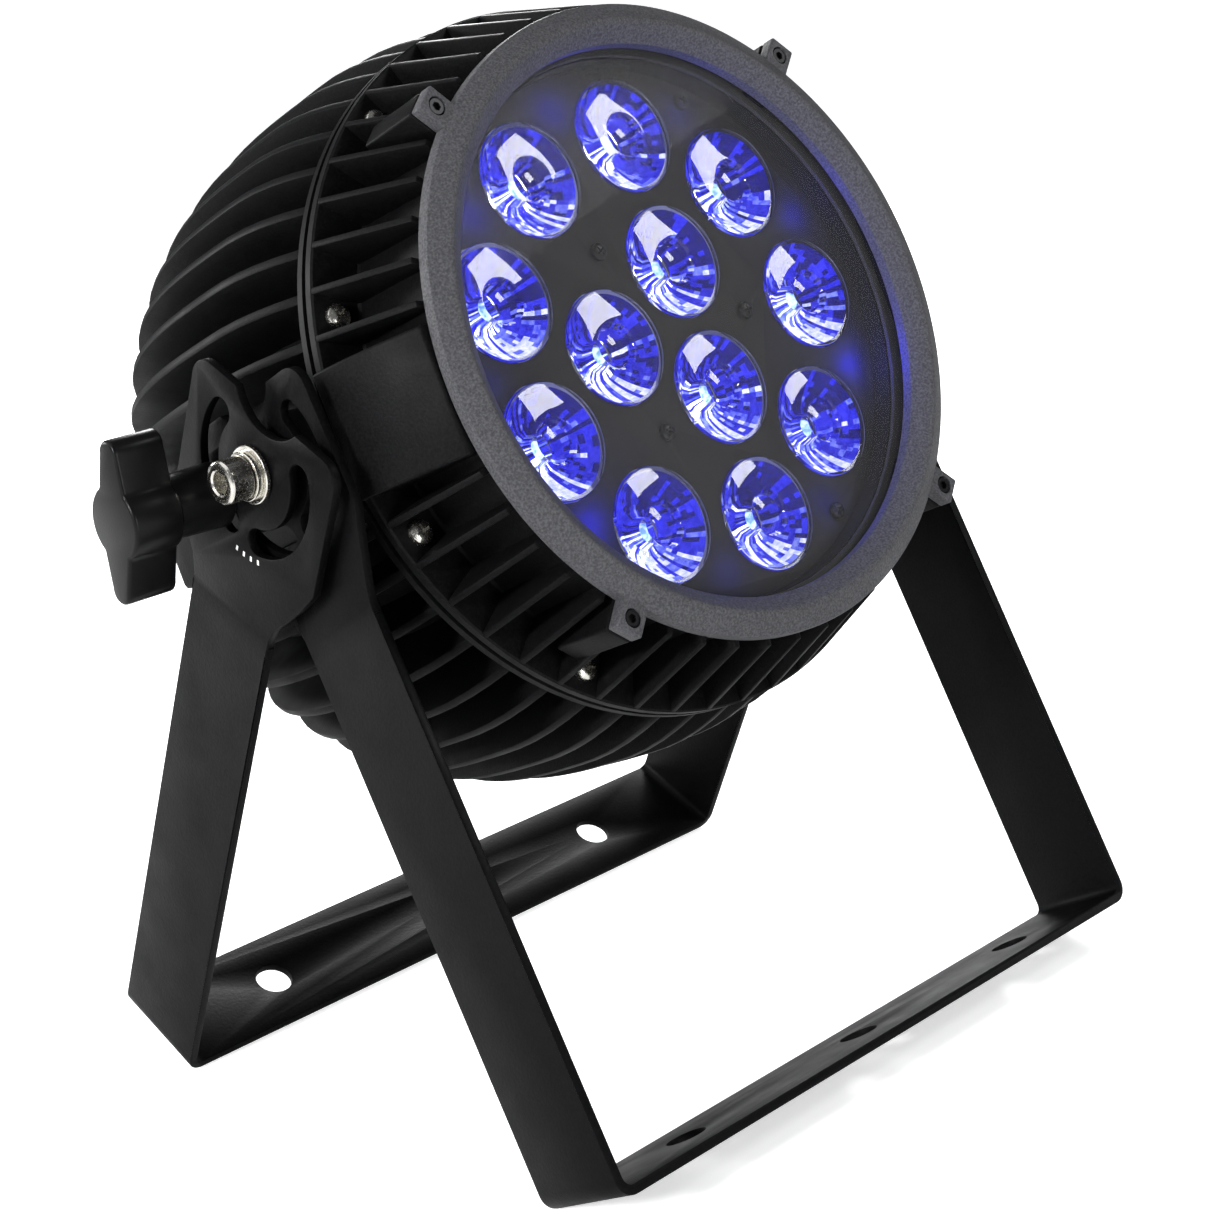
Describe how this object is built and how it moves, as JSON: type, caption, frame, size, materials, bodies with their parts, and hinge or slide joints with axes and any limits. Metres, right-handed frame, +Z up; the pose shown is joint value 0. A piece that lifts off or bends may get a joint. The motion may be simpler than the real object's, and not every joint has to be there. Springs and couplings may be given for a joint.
{
  "type": "stage par can light",
  "caption": "Weatherproof LED par can: finned round head behind a glass front, on a scissor yoke that opens into a floor stand.",
  "frame": {"origin": "centre of the footprint of the bounding box, on the floor that the open yokes stand on", "axes": "+Z up, the light points towards -Y and 21 degrees up, the pivot runs along X"},
  "size_m": [0.3344, 0.278, 0.3371],
  "materials": {
    "head_coating": "fine black powder coat on cast aluminium, satin",
    "yoke_coating": "fine black powder coat on steel flat bar, satin",
    "front_glass": "clear toughened glass",
    "lens_acrylic": "clear polished acrylic",
    "window_acrylic": "smoked clear acrylic",
    "lens_plate": "matt black",
    "panel_plastic": "matt black nylon",
    "knob_nylon": "lightly textured black nylon",
    "button_rubber": "silicone rubber",
    "seals": "silicone rubber",
    "stainless": "bright stainless steel",
    "black_screws": "black oxide",
    "circuit_board_white": "white solder mask",
    "circuit_board_green": "green solder mask",
    "bare_aluminium": "bare sheet aluminium"
  },
  "bodies": {
    "head": {"front_bezel": "head_coating", "front_housing": "head_coating", "rear_housing": "head_coating", "front_glass": "front_glass", "glass_seal": "seals", "seam_gasket": "seals", "bezel_screw_1": "black_screws", "bezel_screw_2": "black_screws", "bezel_screw_3": "black_screws", "bezel_screw_4": "black_screws", "lens_01": "lens_acrylic", "lens_02": "lens_acrylic", "lens_03": "lens_acrylic", "lens_04": "lens_acrylic", "lens_05": "lens_acrylic", "lens_06": "lens_acrylic", "lens_07": "lens_acrylic", "lens_08": "lens_acrylic", "lens_09": "lens_acrylic", "lens_10": "lens_acrylic", "lens_11": "lens_acrylic", "lens_12": "lens_acrylic", "lens_plate": "lens_plate", "plate_screw_1": "black_screws", "plate_screw_2": "black_screws", "plate_screw_3": "black_screws", "led_board": "circuit_board_white", "seam_screw_01": "stainless", "seam_screw_02": "stainless", "seam_screw_03": "stainless", "seam_screw_04": "stainless", "seam_screw_05": "stainless", "seam_screw_06": "stainless", "seam_screw_07": "stainless", "seam_screw_08": "stainless", "seam_screw_09": "stainless", "seam_screw_10": "stainless", "control_board": "circuit_board_green", "power_supply": "bare_aluminium", "control_panel": "panel_plastic", "display_window": "window_acrylic", "power_in": "panel_plastic", "power_out": "panel_plastic", "data_in": "panel_plastic", "data_out": "panel_plastic", "safety_eye": "stainless", "pivot_bolt_left": "stainless", "pivot_washer_left": "stainless", "pivot_spacer_left": "panel_plastic", "pivot_bolt_right": "stainless", "pivot_washer_right": "stainless", "pivot_spacer_right": "panel_plastic"},
    "inner_yoke": {"inner_yoke": "yoke_coating"},
    "outer_yoke": {"outer_yoke": "yoke_coating"},
    "knob_left": {"knob_left": "knob_nylon"},
    "knob_right": {"knob_right": "knob_nylon"},
    "button_1": {"button_1": "button_rubber"},
    "button_2": {"button_2": "button_rubber"},
    "button_3": {"button_3": "button_rubber"},
    "button_4": {"button_4": "button_rubber"}
  },
  "joints": [
    {"name": "inner_yoke_swing", "type": "hinge", "parent": "head", "child": "inner_yoke", "pos_m": [0, -0.02527, 0.21945], "axis": [1, 0, 0], "range_deg": [-24.5, 75.5]},
    {"name": "outer_yoke_swing", "type": "hinge", "parent": "head", "child": "outer_yoke", "pos_m": [0, -0.02527, 0.21945], "axis": [1, 0, 0], "range_deg": [-77.1, 22.8]},
    {"name": "knob_left_turn", "type": "hinge", "parent": "head", "child": "knob_left", "pos_m": [0, -0.0052, 0.21174], "axis": [-1, 0, 0], "range_deg": [0, 360]},
    {"name": "knob_right_turn", "type": "hinge", "parent": "head", "child": "knob_right", "pos_m": [0, -0.0052, 0.21174], "axis": [1, 0, 0], "range_deg": [0, 360]},
    {"name": "button_1_press", "type": "slide", "parent": "head", "child": "button_1", "axis": [0, -0.9336, 0.3584], "range_m": [0, 0.0008], "stiffness_N_per_m": 800, "springref_m": -0.0005},
    {"name": "button_2_press", "type": "slide", "parent": "head", "child": "button_2", "axis": [0, -0.9336, 0.3584], "range_m": [0, 0.0008], "stiffness_N_per_m": 800, "springref_m": -0.0005},
    {"name": "button_3_press", "type": "slide", "parent": "head", "child": "button_3", "axis": [0, -0.9336, 0.3584], "range_m": [0, 0.0008], "stiffness_N_per_m": 800, "springref_m": -0.0005},
    {"name": "button_4_press", "type": "slide", "parent": "head", "child": "button_4", "axis": [0, -0.9336, 0.3584], "range_m": [0, 0.0008], "stiffness_N_per_m": 800, "springref_m": -0.0005}
  ]
}
